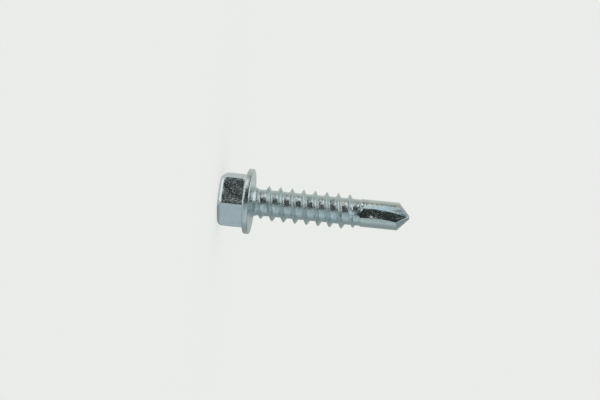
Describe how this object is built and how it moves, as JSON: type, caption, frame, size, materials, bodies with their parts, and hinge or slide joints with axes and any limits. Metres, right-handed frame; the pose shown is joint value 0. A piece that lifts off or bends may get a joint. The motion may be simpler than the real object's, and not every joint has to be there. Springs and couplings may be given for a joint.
{
  "type": "self-drilling screw with hex washer head",
  "caption": "Zinc-plated steel self-drilling screw with a hex washer head, a coarse right-hand thread and a fluted drill point.",
  "frame": {"origin": "on the screw's axis, in the plane of the flange's bearing face, from which a screw's length is measured", "axes": "+Z along the screw from the head to the drill point; two flats of the hexagon face -Y and +Y. The screw stands on the top of its head."},
  "size_m": [0.0102, 0.0102, 0.0297],
  "materials": {
    "zinc_plate": "bright zinc plate with a faint blue passivation, as forged and rolled"
  },
  "bodies": {
    "root": {"screw": "zinc_plate"}
  },
  "joints": []
}
